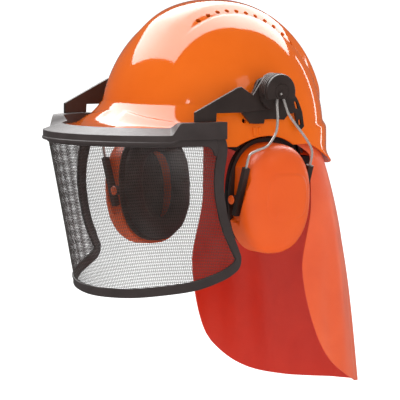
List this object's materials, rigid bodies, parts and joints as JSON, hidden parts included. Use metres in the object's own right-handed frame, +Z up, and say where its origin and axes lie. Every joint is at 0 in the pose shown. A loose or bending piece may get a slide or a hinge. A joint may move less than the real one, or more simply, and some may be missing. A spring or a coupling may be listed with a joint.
{
  "type": "hard hat",
  "caption": "Forestry hard hat: vented peaked shell with adjustable harness, lifting mesh face visor, swivelling and flip-out ear muffs on wire arms, and a neck cape.",
  "frame": {"origin": "middle of the head opening, on the datum plane of the shell, under the crown's middle", "axes": "+X to the wearer's left, -Y to the front (the peak and visor), +Z up through the crown"},
  "size_m": [0.2528, 0.3462, 0.3862],
  "materials": {
    "shell": "glossy moulded orange ABS",
    "cup": "satin moulded orange ABS",
    "cape": "soft orange-red coated sheet, smooth with a low sheen",
    "black_plastic": "satin black moulded plastic",
    "visor_mesh": "fine woven mesh, black lacquered",
    "foam": "soft black cushion skin over foam",
    "webbing": "flat woven strap",
    "steel": "bright drawn steel wire"
  },
  "bodies": {
    "root": {"helmet_shell": "shell", "headband": "black_plastic", "sweatband": "foam", "crown_strap_a": "webbing", "crown_strap_b": "webbing", "crown_clip_front_left": "black_plastic", "crown_clip_front_right": "black_plastic", "crown_clip_rear_left": "black_plastic", "crown_clip_rear_right": "black_plastic", "ratchet_housing": "black_plastic", "neck_cape": "cape", "cape_band": "black_plastic", "muff_bracket_left": "black_plastic", "muff_bracket_right": "black_plastic"},
    "rack_left": {"rack_tail_left": "black_plastic"},
    "rack_right": {"rack_tail_right": "black_plastic"},
    "knob": {"ratchet_knob": "black_plastic"},
    "visor": {"visor_rim": "black_plastic", "visor_edge_frame": "black_plastic", "visor_mesh": "visor_mesh", "visor_arm_left": "black_plastic", "visor_arm_right": "black_plastic"},
    "hub_left": {"hub_turret_left": "black_plastic", "hub_cap_left": "black_plastic", "hub_rivet_left": "steel"},
    "yoke_left": {"yoke_wire_left": "steel"},
    "carriage_left": {"wire_guide_front_left": "black_plastic", "wire_guide_rear_left": "black_plastic"},
    "cup_left": {"ear_cup_left": "cup", "cup_plate_left": "black_plastic", "ear_cushion_left": "foam", "foam_liner_left": "foam", "pivot_button_front_left": "cup", "pivot_button_rear_left": "cup"},
    "hub_right": {"hub_turret_right": "black_plastic", "hub_cap_right": "black_plastic", "hub_rivet_right": "steel"},
    "yoke_right": {"yoke_wire_right": "steel"},
    "carriage_right": {"wire_guide_front_right": "black_plastic", "wire_guide_rear_right": "black_plastic"},
    "cup_right": {"ear_cup_right": "cup", "cup_plate_right": "black_plastic", "ear_cushion_right": "foam", "foam_liner_right": "foam", "pivot_button_front_right": "cup", "pivot_button_rear_right": "cup"}
  },
  "joints": [
    {"name": "visor_lift", "type": "hinge", "parent": "root", "child": "visor", "pos_m": [0, -0.006, 0.0485], "axis": [-1, 0, 0], "range_deg": [0, 95]},
    {"name": "ratchet_turn", "type": "hinge", "parent": "root", "child": "knob", "pos_m": [0, 0.095, -0.011], "axis": [0, 1, 0], "range_deg": [-150, 150]},
    {"name": "rack_left_travel", "type": "hinge", "parent": "root", "child": "rack_left", "pos_m": [0, 0.0305, -0.011], "axis": [0, 0, 1], "range_deg": [-7, 7]},
    {"name": "rack_right_travel", "type": "hinge", "parent": "root", "child": "rack_right", "pos_m": [0, 0.0305, -0.011], "axis": [0, 0, 1], "range_deg": [-7, 7]},
    {"name": "hub_swivel_left", "type": "hinge", "parent": "root", "child": "hub_left", "pos_m": [0.1128, -0.006, 0.0485], "axis": [-1, 0, 0], "range_deg": [-5, 5]},
    {"name": "arm_flip_left", "type": "hinge", "parent": "hub_left", "child": "yoke_left", "pos_m": [0.1145, -0.002, 0.0435], "axis": [0, -1, 0], "range_deg": [0, 25]},
    {"name": "cup_height_left", "type": "slide", "parent": "yoke_left", "child": "carriage_left", "axis": [0.342, 0, 0.9397], "range_m": [-0.014, 0.006]},
    {"name": "cup_tilt_left", "type": "hinge", "parent": "carriage_left", "child": "cup_left", "pos_m": [0.0954, -0.005, -0.05842], "axis": [0, 1, 0], "range_deg": [-5, 5]},
    {"name": "hub_swivel_right", "type": "hinge", "parent": "root", "child": "hub_right", "pos_m": [-0.1128, -0.006, 0.0485], "axis": [-1, 0, 0], "range_deg": [-5, 5]},
    {"name": "arm_flip_right", "type": "hinge", "parent": "hub_right", "child": "yoke_right", "pos_m": [-0.1145, -0.002, 0.0435], "axis": [0, 1, 0], "range_deg": [0, 25]},
    {"name": "cup_height_right", "type": "slide", "parent": "yoke_right", "child": "carriage_right", "axis": [-0.342, 0, 0.9397], "range_m": [-0.014, 0.006]},
    {"name": "cup_tilt_right", "type": "hinge", "parent": "carriage_right", "child": "cup_right", "pos_m": [-0.0954, -0.005, -0.05842], "axis": [0, 1, 0], "range_deg": [-5, 5]}
  ],
  "couplings": [
    {"joint": "rack_left_travel", "follows": "ratchet_turn", "ratio": -0.0455},
    {"joint": "rack_right_travel", "follows": "ratchet_turn", "ratio": 0.0455}
  ]
}
